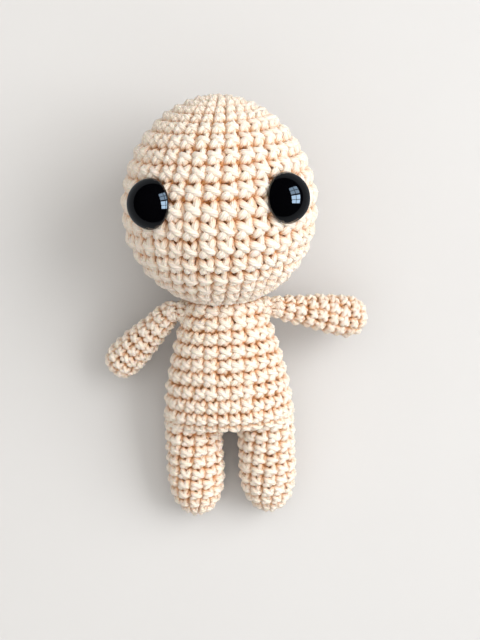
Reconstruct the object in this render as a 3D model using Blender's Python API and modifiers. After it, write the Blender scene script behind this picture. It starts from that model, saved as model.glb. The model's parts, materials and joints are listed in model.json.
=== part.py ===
"""A crocheted doll lying on its back, as separate covers, wads of stuffing, eyes and sewing yarn.

The doll is modelled standing up: +Z runs from the legs to the crown, -Y is its front, +X is its left.
An empty then lays it down on the back of its head, its hips and its heels, with the face up and the
crown toward +Y. The world origin is on the flat that the hips lie on.
"""
import math

import bmesh
import bpy
from mathutils import Matrix, Vector

# Head: an egg, a little fuller toward the neck
head_width = 0.0475
head_length = 0.0510
head_fullness_share = 0.05
head_centre_above_neck = 0.0236

# Torso: round at the neck, wide and flatter at the hips
torso_height = 0.0325
hips_width = 0.0324
hips_depth = 0.0236
hips_above_crotch = 0.0040
torso_bottom_drop = 0.0050
torso_top_width = 0.0204
torso_top_depth = 0.0178
torso_rim_below_neck = 0.0025
torso_taper_power = 1.45
torso_bottom_power = 0.7

# Neck: a ring of sewing yarn round a firm ball of stuffing
neck_ball_radius = 0.0093
neck_ring_bore_radius = 0.0074
neck_ring_above_joint = 0.0012
neck_ring_below_joint = 0.0046

# Legs: each turns in the torso about a joint just above the crotch
leg_diameter = 0.0142
leg_spacing = 0.0182
leg_length = 0.0243
toe_length = 0.0110
hip_joint_above_crotch = 0.0010
leg_opening_angle = math.radians(48)
hip_flex_angle = math.radians(27)

# Arms: each is sewn on at a small ball of seam yarn beside the neck
arm_length = 0.0240
shoulder_diameter = 0.0061
arm_root_draw_in = 0.0009
shoulder_spacing = 0.0264
shoulder_below_neck = 0.0033
seam_ball_radius = 0.0029
seam_bore_radius = 0.0012
seam_end_angle = math.radians(30)
arm_root_above_joint = 0.0006
arm_stuffing_above_joint = 0.0035
arm_draw_in_share = 0.20
arm_backward_angle = math.radians(18)
arms = (
    # side, sign of X, hand diameter, angle below the level of the shoulders
    ("left", 1, 0.0100, math.radians(14.6)),
    ("right", -1, 0.0092, math.radians(46)),
)

# Eyes: a dome and a ridged post moulded in one, held by a washer inside the head
eye_diameter = 0.0120
eye_dome_height = 0.0052
eye_edge_height = 0.0006
eye_spacing = 0.0311
eye_above_head_centre = 0.0026
eye_seat_depth = 0.0005
post_diameter = 0.0032
post_length = 0.0100
post_ridge_height = 0.00015
post_ridge_pitch = 0.0012
post_ridge_count = 3
washer_diameter = 0.0120
washer_thickness = 0.0012
washer_hub_diameter = 0.0060
washer_hub_height = 0.0008

# Rows of crochet: each is a ridge round its cover, between two shallow grooves
head_row_count = 17
torso_row_count = 9
leg_row_count = 10
arm_row_count = 9
head_groove_depth = 0.0010
torso_groove_depth = 0.0008
leg_groove_depth = 0.0007
arm_groove_depth = 0.0006
head_rows_end_angle = math.radians(158)

# Walls, gaps and cuts
cover_wall = 0.0019
arm_wall = 0.0015
clearance = 0.0003
rest_flat_depth = 0.0005
cut_overrun = 0.0200
floor_cutter_size = 0.4000
merge_distance = 0.00001

# How finely each form is divided
head_steps = 24
head_rings = 12
torso_steps = 20
torso_rings = 6
torso_bottom_rings = 4
leg_steps = 16
arm_steps = 12
neck_steps = 20
eye_steps = 16
arc_rings = 4
outline_rings = 60
solver_rounds = 20

# Worked out from the sizes above
head_centre = torso_height + head_centre_above_neck
neck_socket_radius = neck_ball_radius + clearance
leg_radius = leg_diameter / 2
torso_row_height = (torso_height - hips_above_crotch) / (torso_row_count - 0.5)
leg_tip_below_joint = leg_length + hip_joint_above_crotch
eye_radius = eye_diameter / 2
post_radius = post_diameter / 2
washer_bore_radius = post_radius + clearance

CREAM_YARN = ("cream_yarn", (0.90, 0.76, 0.62, 1.0), 0.85)
SEWING_YARN = ("sewing_yarn", (0.88, 0.74, 0.60, 1.0), 0.85)
WHITE_FILL = ("white_stuffing", (0.93, 0.92, 0.90, 1.0), 0.95)
BLACK_EYE = ("black_eye", (0.012, 0.012, 0.014, 1.0), 0.06)
CLEAR_WASHER = ("washer_plastic", (0.80, 0.80, 0.78, 1.0), 0.35)


def remove_old_objects():
    """Clear the scene, so that the script always starts from nothing."""
    for old in list(bpy.data.objects):
        bpy.data.objects.remove(old, do_unlink=True)


def add_collection(name):
    group = bpy.data.collections.new(name)
    bpy.context.scene.collection.children.link(group)
    return group


def surface(recipe):
    """A material from its name, colour and roughness, made once."""
    name, colour, roughness = recipe
    found = bpy.data.materials.get(name)
    if found:
        return found
    made = bpy.data.materials.new(name)
    made.use_nodes = True
    shader = made.node_tree.nodes["Principled BSDF"]
    shader.inputs["Base Color"].default_value = colour
    shader.inputs["Roughness"].default_value = roughness
    shader.inputs["Metallic"].default_value = 0.0
    return made


def add_frame(name, parent, location, rotation=None):
    """An empty that carries pieces: a joint's centre or a piece's seat."""
    frame = bpy.data.objects.new(name, None)
    doll.objects.link(frame)
    frame.parent = parent
    frame.location = location
    if rotation is not None:
        frame.rotation_mode = "QUATERNION"
        frame.rotation_quaternion = rotation
    return frame


def place(name, mesh, parent, recipe):
    """A piece of the doll, or a cutter where the recipe is None."""
    piece = bpy.data.objects.new(name, mesh)
    piece.parent = parent
    if recipe is None:
        cutters.objects.link(piece)
        piece.display_type = "WIRE"
        piece.hide_render = True
    else:
        doll.objects.link(piece)
        mesh.materials.append(surface(recipe))
    return piece


def turned(name, profile, parent, recipe, steps, ring=False):
    """Turn a profile of (radius, height) points round Z, outer side top to bottom."""
    count = len(profile)
    edges = [(index, index + 1) for index in range(count - 1)]
    if ring:
        edges.append((count - 1, 0))
    mesh = bpy.data.meshes.new(name)
    mesh.from_pydata([(radius, 0.0, height) for radius, height in profile], edges, [])
    piece = place(name, mesh, parent, recipe)
    screw = piece.modifiers.new("turn", "SCREW")
    screw.axis = "Z"
    screw.steps = steps
    screw.render_steps = steps
    screw.use_merge_vertices = True
    screw.merge_threshold = merge_distance
    screw.use_smooth_shade = True
    return piece


def loft(name, rings, parent, recipe):
    """Bridge a stack of elliptical rings (height, half width, half depth), closed at both ends."""
    shape = bmesh.new()
    loops = []
    for height, half_width, half_depth in rings:
        matrix = Matrix.Translation((0.0, 0.0, height)) @ Matrix.Diagonal((half_width, half_depth, 1.0, 1.0))
        circle = bmesh.ops.create_circle(shape, cap_ends=False, radius=1.0, segments=torso_steps, matrix=matrix)
        loops.append(list({edge for vertex in circle["verts"] for edge in vertex.link_edges}))
    for upper, lower in zip(loops, loops[1:]):
        bmesh.ops.bridge_loops(shape, edges=upper + lower)
    bmesh.ops.edgeloop_fill(shape, edges=loops[-1])
    bmesh.ops.edgeloop_fill(shape, edges=loops[0])
    bmesh.ops.recalc_face_normals(shape, faces=shape.faces)
    mesh = bpy.data.meshes.new(name)
    shape.to_mesh(mesh)
    shape.free()
    mesh.shade_smooth()
    return place(name, mesh, parent, recipe)


def cut(piece, *tools):
    """Take each cutter's shape out of a piece."""
    for tool in tools:
        boolean = piece.modifiers.new(tool.name, "BOOLEAN")
        boolean.operation = "DIFFERENCE"
        boolean.solver = "EXACT"
        boolean.object = tool


def arc(radius, start, stop, rings=arc_rings):
    """Points on a circle about the origin; angles run from +Z down the outer side."""
    angles = [start + (stop - start) * index / rings for index in range(rings + 1)]
    return [(radius * math.sin(angle), radius * math.cos(angle)) for angle in angles]


def on_axis(point):
    """The same point moved onto the Z axis."""
    return (0.0, point[1])


def rowed(outline, row_count, groove_depth):
    """An outer outline walked in half rows. The middle of each row keeps its place, and the points
    between two rows are moved in by the groove's depth."""
    lengths = [0.0]
    for first, second in zip(outline, outline[1:]):
        lengths.append(lengths[-1] + math.dist(first, second))
    walked = [outline[0]]
    for index in range(1, 2 * row_count):
        target = lengths[-1] * index / (2 * row_count)
        after = next(number for number, length in enumerate(lengths) if length >= target)
        first = Vector(outline[after - 1])
        second = Vector(outline[after])
        point = first.lerp(second, (target - lengths[after - 1]) / (lengths[after] - lengths[after - 1]))
        if index % 2 == 0:
            along = (second - first).normalized()
            point += Vector((along.y, -along.x)) * groove_depth
        walked.append(tuple(point))
    walked.append(outline[-1])
    return walked


def round_cutter(name, parent, radius, steps):
    """A ball that clears a socket."""
    ball = arc(radius, 0.0, math.pi, rings=steps // 2)
    ball[0] = on_axis(ball[0])
    ball[-1] = on_axis(ball[-1])
    return turned(name, ball, parent, None, steps)


def head_point(angle, inset=0.0):
    """A point of the egg, seen from its neck frame, at an angle from the crown."""
    radius = (head_width / 2 - inset) * math.sin(angle) * (1 - head_fullness_share * math.cos(angle))
    height = (head_length / 2 - inset) * math.cos(angle)
    return (radius, height + head_centre_above_neck)


def head_slope(angle):
    """The egg's outward normal in the plane of its profile."""
    along_radius = head_width / 2 * (math.cos(angle) * (1 - head_fullness_share * math.cos(angle))
                                     + head_fullness_share * math.sin(angle) ** 2)
    along_height = -head_length / 2 * math.sin(angle)
    return Vector((-along_height, along_radius)).normalized()


def torso_section(height, inset=0.0):
    """A ring of the torso's taper at a height above the crotch."""
    top = torso_height - torso_rim_below_neck
    share = max(0.0, (height - hips_above_crotch) / (top - hips_above_crotch))
    taper = share ** torso_taper_power
    width = hips_width + (torso_top_width - hips_width) * taper
    depth = hips_depth + (torso_top_depth - hips_depth) * taper
    return (height, width / 2 - inset, depth / 2 - inset)


def torso_bottom(inset=0.0):
    """Rings of the torso's rounded bottom, from the hips down."""
    stations = []
    for index in range(1, torso_bottom_rings):
        angle = math.pi / 2 * index / torso_bottom_rings
        fullness = math.cos(angle) ** torso_bottom_power
        height = hips_above_crotch - (torso_bottom_drop - inset) * math.sin(angle)
        stations.append((height, (hips_width / 2 - inset) * fullness, (hips_depth / 2 - inset) * fullness))
    return stations


def torso_stations(inset):
    """Rings of a plain torso from its rim down: the taper, then the rounded bottom."""
    top = torso_height - torso_rim_below_neck
    heights = [hips_above_crotch + (top - hips_above_crotch) * index / torso_rings
               for index in range(torso_rings, -1, -1)]
    return [torso_section(height, inset) for height in heights] + torso_bottom(inset)


def torso_row_stations():
    """Rings of the crocheted torso from its rim down, two to a row. The first row lies at the hips."""
    top = torso_height - torso_rim_below_neck
    stations = [torso_section(top, torso_groove_depth / 2)]
    for index in range(2 * torso_row_count - 1, -1, -1):
        height = hips_above_crotch + torso_row_height * index / 2
        if height < top - torso_row_height / 4:
            stations.append(torso_section(height, torso_groove_depth * (index % 2)))
    return stations + torso_bottom()


def toe_profile(radius, length, centre, rings=arc_rings):
    """The rounded end of a leg, from its widest ring to the tip."""
    points = [(radius * math.sin(angle), centre - length * math.cos(angle))
              for angle in (math.pi / 2 * (1 - index / rings) for index in range(rings + 1))]
    points[-1] = on_axis(points[-1])
    return points


def arm_radius(height, hand_radius, inset):
    """The arm swells from the shoulder to the hand, and is drawn in where it is sewn on."""
    share = height / (arm_length - hand_radius)
    swell = math.sin(math.pi / 2 * share) ** 2
    drawn = max(0.0, 1 - share / arm_draw_in_share) ** 2
    shoulder_radius = shoulder_diameter / 2
    return shoulder_radius + (hand_radius - shoulder_radius) * swell - arm_root_draw_in * drawn - inset


def arm_profile(hand_radius, inset, root_height, rings=arc_rings):
    """From the tip of the hand down to the root."""
    hand_centre = arm_length - hand_radius
    hand = [(radius, hand_centre + height)
            for radius, height in arc(hand_radius - inset, 0.0, math.pi / 2, rings)]
    hand[0] = on_axis(hand[0])
    for index in range(1, rings + 1):
        height = hand_centre + (root_height - hand_centre) * index / rings
        hand.append((arm_radius(height, hand_radius, inset), height))
    return hand


def head_reach(tilt):
    """How far the head's centre lies above what it rests on."""
    return math.hypot(head_width / 2 * math.cos(tilt), head_length / 2 * math.sin(tilt))


def resting_tilt(centre, half_length, half_depth):
    """The tilt at which the head and one lower form reach equally deep."""
    tilt = 0.0
    for _ in range(solver_rounds):
        reach = math.hypot(half_depth * math.cos(tilt), half_length * math.sin(tilt))
        tilt = math.asin((head_reach(tilt) - reach) / (head_centre - centre))
    return tilt


def build_head(neck_frame, floor_cutter, socket):
    """The crocheted cover and the stuffing, each open to the neck."""
    outline = [head_point(head_rows_end_angle * index / outline_rings) for index in range(outline_rings + 1)]
    outline[0] = on_axis(outline[0])
    bore = [head_point(math.pi * index / head_rings, cover_wall) for index in range(head_rings - 1, -1, -1)]
    bore[-1] = on_axis(bore[-1])
    shell = rowed(outline, head_row_count, head_groove_depth) + bore
    cover = turned("head_cover", shell, neck_frame, CREAM_YARN, head_steps)
    inset = cover_wall + clearance
    wad = [head_point(math.pi * index / head_rings, inset) for index in range(head_rings + 1)]
    wad[0] = on_axis(wad[0])
    wad[-1] = on_axis(wad[-1])
    stuffing = turned("head_stuffing", wad, neck_frame, WHITE_FILL, head_steps)
    cut(cover, socket, floor_cutter)
    cut(stuffing, socket)
    return cover, stuffing


def build_eye(side, sign, neck_frame, cover, stuffing):
    """One moulded eye, seated on the cover, and the washer that holds it from inside."""
    angle = math.acos(eye_above_head_centre / (head_length / 2))
    radius, height = head_point(angle)
    slope = head_slope(angle)
    turn = math.asin(eye_spacing / 2 / (radius - eye_seat_depth)) * sign
    outward = Vector((slope.x * math.sin(turn), -slope.x * math.cos(turn), slope.y))
    surface_point = Vector((radius * math.sin(turn), -radius * math.cos(turn), height))
    seat = surface_point - outward * eye_seat_depth
    frame = add_frame(side + "_eye_seat", neck_frame, seat, outward.to_track_quat("Z", "Y"))

    inner_radius = head_width / 2 - cover_wall
    washer_radius = washer_diameter / 2
    sagitta = inner_radius - math.sqrt(inner_radius ** 2 - washer_radius ** 2)
    washer_top = eye_seat_depth - cover_wall - sagitta - clearance
    washer_bottom = washer_top - washer_thickness
    hub_bottom = washer_bottom - washer_hub_height

    cap_height = eye_dome_height - eye_edge_height
    cap_radius = (eye_radius ** 2 + cap_height ** 2) / (2 * cap_height)
    cap_centre = eye_dome_height - cap_radius
    dome = [(across, cap_centre + along)
            for across, along in arc(cap_radius, 0.0, math.asin(eye_radius / cap_radius))]
    dome[0] = on_axis(dome[0])
    profile = dome + [(eye_radius, 0.0), (post_radius, 0.0)]
    for ridge in range(post_ridge_count):
        ridge_height = hub_bottom - post_ridge_pitch * (ridge + 1)
        profile.append((post_radius, ridge_height + post_ridge_pitch / 2))
        profile.append((post_radius + post_ridge_height, ridge_height + post_ridge_pitch / 4))
        profile.append((post_radius, ridge_height))
    profile += [(post_radius, -post_length), (0.0, -post_length)]
    turned(side + "_eye", profile, frame, BLACK_EYE, eye_steps)

    washer = [(washer_bore_radius, washer_top), (washer_radius, washer_top), (washer_radius, washer_bottom),
              (washer_hub_diameter / 2, washer_bottom), (washer_hub_diameter / 2, hub_bottom),
              (washer_bore_radius, hub_bottom)]
    turned(side + "_eye_washer", washer, frame, CLEAR_WASHER, eye_steps, ring=True)

    seat_radius = eye_radius + clearance
    seat_cutter = turned(side + "_eye_seat_cutter", [
        (0.0, cut_overrun), (seat_radius, cut_overrun), (seat_radius, -clearance),
        (washer_bore_radius, -clearance), (washer_bore_radius, -post_length), (0.0, -post_length)],
        frame, None, eye_steps)
    pocket_radius = washer_radius + clearance
    pocket_bottom = washer_bottom - clearance
    hub_pocket_radius = washer_hub_diameter / 2 + clearance
    hub_pocket_bottom = hub_bottom - clearance
    post_pocket_bottom = -post_length - clearance
    pocket_cutter = turned(side + "_washer_pocket_cutter", [
        (0.0, cut_overrun), (pocket_radius, cut_overrun), (pocket_radius, pocket_bottom),
        (hub_pocket_radius, pocket_bottom), (hub_pocket_radius, hub_pocket_bottom),
        (washer_bore_radius, hub_pocket_bottom), (washer_bore_radius, post_pocket_bottom),
        (0.0, post_pocket_bottom)], frame, None, eye_steps)
    cut(cover, seat_cutter)
    cut(stuffing, pocket_cutter)


def build_neck(neck_frame):
    """The ring of sewing yarn, and the firm ball of stuffing that it goes round."""
    ring_top = math.acos(neck_ring_above_joint / neck_ball_radius)
    ring_bottom = math.acos(-neck_ring_below_joint / neck_ball_radius)
    ring = arc(neck_ball_radius, ring_top, ring_bottom)
    ring += [(neck_ring_bore_radius, -neck_ring_below_joint), (neck_ring_bore_radius, neck_ring_above_joint)]
    turned("neck_seam_yarn", ring, neck_frame, SEWING_YARN, neck_steps, ring=True)

    groove_radius = neck_ring_bore_radius - clearance
    groove_top = neck_ring_above_joint + clearance
    groove_bottom = -neck_ring_below_joint - clearance
    ball = arc(neck_ball_radius, 0.0, math.acos(groove_top / neck_ball_radius))
    ball += [(groove_radius, groove_top), (groove_radius, groove_bottom)]
    ball += arc(neck_ball_radius, math.acos(groove_bottom / neck_ball_radius), math.pi)
    ball[0] = on_axis(ball[0])
    ball[-1] = on_axis(ball[-1])
    turned("neck_stuffing", ball, neck_frame, WHITE_FILL, neck_steps)


def build_torso(body, floor_cutter, socket, hip_cutters, dent_cutters):
    """The torso's cover, open at the neck and over each leg, and its stuffing."""
    cover = loft("torso_cover", torso_row_stations(), body, CREAM_YARN)
    bore = torso_stations(cover_wall)
    rim_height, rim_width, rim_depth = bore[0]
    bore.insert(0, (rim_height + cut_overrun, rim_width, rim_depth))
    bore_cutter = loft("torso_bore_cutter", bore, body, None)
    stuffing = loft("torso_stuffing", torso_stations(cover_wall + clearance), body, WHITE_FILL)
    cut(cover, bore_cutter, socket, *hip_cutters, *dent_cutters, floor_cutter)
    cut(stuffing, socket, *hip_cutters)


def hip_cutter(name, frame):
    """The space of a leg's round top, flared so that the leg can bend forward and back."""
    socket_radius = leg_radius + clearance
    touch = math.pi / 2 - hip_flex_angle
    profile = arc(socket_radius, 0.0, touch)
    profile[0] = on_axis(profile[0])
    edge_radius, edge_height = profile[-1]
    foot_height = edge_height - cut_overrun * math.cos(hip_flex_angle)
    profile.append((edge_radius + cut_overrun * math.sin(hip_flex_angle), foot_height))
    profile.append((0.0, foot_height))
    return turned(name, profile, frame, None, leg_steps)


def build_leg(side, frame, floor_cutter):
    """A leg's cover, open at the top, and its stuffing."""
    toe_centre = toe_length - leg_tip_below_joint
    outline = [(leg_radius, 0.0)] + toe_profile(leg_radius, toe_length, toe_centre, outline_rings)
    outer = arc(leg_radius, leg_opening_angle, math.pi / 2)[:-1]
    outer += rowed(outline, leg_row_count, leg_groove_depth)
    bore_radius = leg_radius - cover_wall
    bore = arc(bore_radius, leg_opening_angle, math.pi / 2)
    bore += toe_profile(bore_radius, toe_length - cover_wall, toe_centre)
    cover = turned(side + "_leg_cover", bore[::-1] + outer, frame, CREAM_YARN, leg_steps)
    cut(cover, floor_cutter)
    inset = cover_wall + clearance
    wad = arc(leg_radius - inset, 0.0, math.pi / 2)
    wad[0] = on_axis(wad[0])
    wad += toe_profile(leg_radius - inset, toe_length - inset, toe_centre)
    turned(side + "_leg_stuffing", wad, frame, WHITE_FILL, leg_steps)


def build_arm(side, hand_diameter, frame):
    """An arm's cover, its stuffing, and the ball of yarn that sews it on."""
    hand_radius = hand_diameter / 2
    outline = arm_profile(hand_radius, 0.0, arm_root_above_joint, outline_rings)
    bore = arm_profile(hand_radius, arm_wall, arm_root_above_joint)
    shell = rowed(outline, arm_row_count, arm_groove_depth) + bore[::-1]
    cover = turned(side + "_arm_cover", shell, frame, CREAM_YARN, arm_steps)
    root_cutter = round_cutter(side + "_arm_root_cutter", frame, seam_ball_radius + clearance, arm_steps)
    cut(cover, root_cutter)
    wad = arm_profile(hand_radius, arm_wall + clearance, arm_stuffing_above_joint)
    wad.append(on_axis(wad[-1]))
    turned(side + "_arm_stuffing", wad, frame, WHITE_FILL, arm_steps)

    seam = arc(seam_ball_radius, seam_end_angle, math.pi - seam_end_angle)
    end_height = seam_ball_radius * math.cos(seam_end_angle)
    seam += [(seam_bore_radius, -end_height), (seam_bore_radius, end_height)]
    turned(side + "_arm_seam_yarn", seam, frame, SEWING_YARN, arm_steps, ring=True)


def build():
    heel_centre = toe_length - leg_length
    tilt = min(resting_tilt(heel_centre, toe_length, leg_radius),
               resting_tilt(hips_above_crotch, 0.0, hips_depth / 2))
    floor_level = head_centre * math.sin(tilt) - head_reach(tilt) + rest_flat_depth
    hips_along = hips_depth / 2 * math.sin(tilt) + hips_above_crotch * math.cos(tilt)
    body = bpy.data.objects.new("lying_doll", None)
    doll.objects.link(body)
    body.rotation_euler = (tilt - math.pi / 2, 0.0, 0.0)
    body.location = (0.0, -hips_along, -floor_level)

    floor_mesh = bpy.data.meshes.new("floor_cutter")
    floor_box = bmesh.new()
    bmesh.ops.create_cube(floor_box, size=floor_cutter_size,
                          matrix=Matrix.Translation((0.0, 0.0, -floor_cutter_size / 2)))
    floor_box.to_mesh(floor_mesh)
    floor_box.free()
    floor_cutter = place("floor_cutter", floor_mesh, None, None)

    neck_frame = add_frame("neck_joint", body, (0.0, 0.0, torso_height))
    socket = round_cutter("neck_socket_cutter", neck_frame, neck_socket_radius, neck_steps)
    cover, stuffing = build_head(neck_frame, floor_cutter, socket)
    for side, sign in (("left", 1), ("right", -1)):
        build_eye(side, sign, neck_frame, cover, stuffing)
    build_neck(neck_frame)

    hip_cutters = []
    for side, sign in (("left", 1), ("right", -1)):
        hip_frame = add_frame(side + "_hip_joint", body, (sign * leg_spacing / 2, 0.0, hip_joint_above_crotch))
        hip_cutters.append(hip_cutter(side + "_hip_cutter", hip_frame))
        build_leg(side, hip_frame, floor_cutter)

    dent_cutters = []
    for side, sign, hand_diameter, drop in arms:
        reach = math.cos(arm_backward_angle)
        along = Vector((sign * math.cos(drop) * reach, math.sin(arm_backward_angle), -math.sin(drop) * reach))
        shoulder = (sign * shoulder_spacing / 2, 0.0, torso_height - shoulder_below_neck)
        frame = add_frame(side + "_shoulder_joint", body, shoulder, along.to_track_quat("Z", "Y"))
        dent_cutters.append(round_cutter(side + "_shoulder_dent_cutter", frame,
                                         seam_ball_radius + clearance, arm_steps))
        build_arm(side, hand_diameter, frame)
    build_torso(body, floor_cutter, socket, hip_cutters, dent_cutters)


remove_old_objects()
doll = add_collection("crocheted_doll")
cutters = add_collection("cutters")
build()
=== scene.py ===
# %% [markdown]
# # A crocheted doll, lying on its back
#
# This notebook dresses the plain solids of a small crocheted doll. The solids come packed as a fixed
# frame: they say where each piece is, and how the head, the arms and the legs move. Here the covers
# become real crochet, a strand of yarn that is worked round by round and stitch by stitch. The eyes
# become polished domes, and the light and the camera are set as for a photograph from straight above.
#
# Everything is in metres. The doll lies with its face up: +Z is up, +Y runs toward the crown of its head
# and +X toward its left arm.

# %% Load the frame
import json
import math

import bpy
import numpy as np
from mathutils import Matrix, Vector


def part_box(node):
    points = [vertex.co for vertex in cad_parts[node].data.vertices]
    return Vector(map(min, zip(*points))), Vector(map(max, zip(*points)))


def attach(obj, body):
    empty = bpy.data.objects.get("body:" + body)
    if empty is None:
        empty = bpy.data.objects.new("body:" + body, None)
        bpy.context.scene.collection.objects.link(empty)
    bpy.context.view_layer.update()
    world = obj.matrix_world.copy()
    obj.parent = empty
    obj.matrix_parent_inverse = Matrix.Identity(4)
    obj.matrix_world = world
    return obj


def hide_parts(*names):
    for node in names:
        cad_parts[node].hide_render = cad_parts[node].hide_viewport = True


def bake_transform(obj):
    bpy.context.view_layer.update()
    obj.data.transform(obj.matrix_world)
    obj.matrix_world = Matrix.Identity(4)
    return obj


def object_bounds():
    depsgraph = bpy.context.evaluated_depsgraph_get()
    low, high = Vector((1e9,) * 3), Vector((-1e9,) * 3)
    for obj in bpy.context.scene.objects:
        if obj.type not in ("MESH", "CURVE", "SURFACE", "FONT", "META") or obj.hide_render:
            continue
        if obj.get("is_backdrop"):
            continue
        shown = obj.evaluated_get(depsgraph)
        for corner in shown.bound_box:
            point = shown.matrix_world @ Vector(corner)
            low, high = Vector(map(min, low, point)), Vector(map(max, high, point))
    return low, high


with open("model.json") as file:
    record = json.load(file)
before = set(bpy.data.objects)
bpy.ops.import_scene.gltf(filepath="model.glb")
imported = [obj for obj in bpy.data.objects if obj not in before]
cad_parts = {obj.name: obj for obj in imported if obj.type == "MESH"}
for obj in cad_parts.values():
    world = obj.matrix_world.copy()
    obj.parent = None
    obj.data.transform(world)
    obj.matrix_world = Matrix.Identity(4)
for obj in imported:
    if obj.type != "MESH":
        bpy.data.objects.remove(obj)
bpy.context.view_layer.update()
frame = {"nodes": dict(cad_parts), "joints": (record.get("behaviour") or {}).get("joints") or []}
mm = 0.001

# %% [markdown]
# ## The doll's own directions
#
# The doll leans back a little as it lies, so it is easier to build each piece in the doll's own
# directions than in the room's. They could be typed in, but the neck's three joints already hold them:
# the head turns about the line from the hips to the crown, leans to each side about the line out of the
# face, and nods about the line from shoulder to shoulder. Read from there, they can't disagree.

# %% Find the doll's directions
joints = {joint["name"]: joint for joint in frame["joints"]}
sides = (("left", 1), ("right", -1))


def unit(vector):
    """The same direction with length one."""
    vector = np.array(vector, float)
    return vector / np.linalg.norm(vector)


def joint_place(name):
    """Where a joint turns, as an array."""
    return np.array(joints[name]["pos_m"], float)


crownward = unit(joints["neck_turn"]["axis"])
faceward = unit(joints["neck_lean"]["axis"])
leftward = unit(joints["neck_nod"]["axis"])
neck_place = joint_place("neck_turn")
torso_height = 32.5 * mm
crotch_place = neck_place - torso_height * crownward
print("the body leans back by", round(math.degrees(math.asin(crownward[2])), 1), "degrees")

# %% [markdown]
# ## The camera
#
# The photograph was taken from straight above, slightly turned. The camera hangs over the belly and looks
# down, and its turn about the vertical gives the doll the small lean that it has in the picture. It is
# made before anything else, so that each piece can be held against the photograph as soon as it exists.

# %% Hang the camera
camera_place = (3.75 * mm, 18.8 * mm, 330 * mm)
camera_turn = math.radians(-2.5)
focal_length_px = 1265
picture_height_px = 640

camera_data = bpy.data.cameras.new("camera")
camera_data.sensor_width = 36
camera_data.lens = focal_length_px * camera_data.sensor_width / picture_height_px
camera_data.clip_start = 10 * mm
camera = bpy.data.objects.new("camera", camera_data)
camera.location = camera_place
camera.rotation_euler = (0, 0, camera_turn)
bpy.context.scene.collection.objects.link(camera)
bpy.context.scene.camera = camera
print("lens", round(camera_data.lens, 1), "mm")

# %% [markdown]
# ## Round forms
#
# Every crocheted cover is a round form worked in rounds. Here each is walked upward: the head from the
# neck to the crown, the torso from the hips to the neck, a leg from the toe and an arm from the
# fingertips. So one description serves them all, and no cover has to be modelled by itself: a profile of
# half width and half depth against height, from where the work starts. A place on the form is then two
# numbers: which row it is in, and which way round it faces. Zero faces the back and half a turn the
# front.

# %% Describe a round form
class RoundForm:
    """A form round an axis, measured in rows of crochet along its profile.

    The profile is three arrays, half width, half depth and height, from where the work starts. The rows'
    heights are shares of each other, and together they fill the profile's length.
    """

    def __init__(self, origin, working, facing, profile, row_heights):
        self.origin = np.array(origin, float)
        self.working = unit(working)
        self.facing = unit(np.array(facing) - np.dot(facing, self.working) * self.working)
        self.side = np.cross(self.working, self.facing)
        self.width, self.depth, self.height = (np.array(line, float) for line in profile)
        steps = np.hypot(np.diff(np.maximum(self.width, self.depth)), np.diff(self.height))
        self.length = np.concatenate(([0.0], np.cumsum(steps)))
        self.rows = len(row_heights)
        self.mean_row_height = self.length[-1] / self.rows
        edges = np.concatenate(([0.0], np.cumsum(row_heights)))
        self.row_edges = edges / edges[-1] * self.length[-1]

    def point(self, way_round, row):
        """The place on the form. On an oval ring the way round is evened out, so that equal steps of it
        are equal steps along the ring: the angle loses sin(2 x way) times half the ring's ovalness."""
        along = np.interp(row, np.arange(self.rows + 1), self.row_edges)
        width, depth, height = (np.interp(along, self.length, line)
                                for line in (self.width, self.depth, self.height))
        ovalness = (width ** 2 - depth ** 2) / (2 * (width ** 2 + depth ** 2) + 1e-12)
        angle = way_round - 0.5 * ovalness * np.sin(2 * way_round)
        return (self.origin + height[..., None] * self.working
                + (width * np.sin(angle))[..., None] * self.side
                + (depth * np.cos(angle))[..., None] * self.facing)

    def outward(self, way_round, row):
        """The direction out of the form: across a small step round, crossed with a small step along."""
        step = 0.02
        round_step = self.point(way_round + step, row) - self.point(way_round - step, row)
        along_step = self.point(way_round, row + step) - self.point(way_round, row - step)
        normal = np.cross(round_step, along_step)
        return normal / (np.linalg.norm(normal, axis=-1, keepdims=True) + 1e-15)


angle = np.linspace(0, np.pi, 50)
ball_radius = 10 * mm * np.sin(angle)
ball_height = 10 * mm * (1 - np.cos(angle))
ball = RoundForm((0, 0, 0), crownward, -faceward, (ball_radius, ball_radius, ball_height), np.ones(10))
print("a 20 mm ball in ten rows has rows of", round(ball.mean_row_height / mm, 1), "mm")
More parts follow.
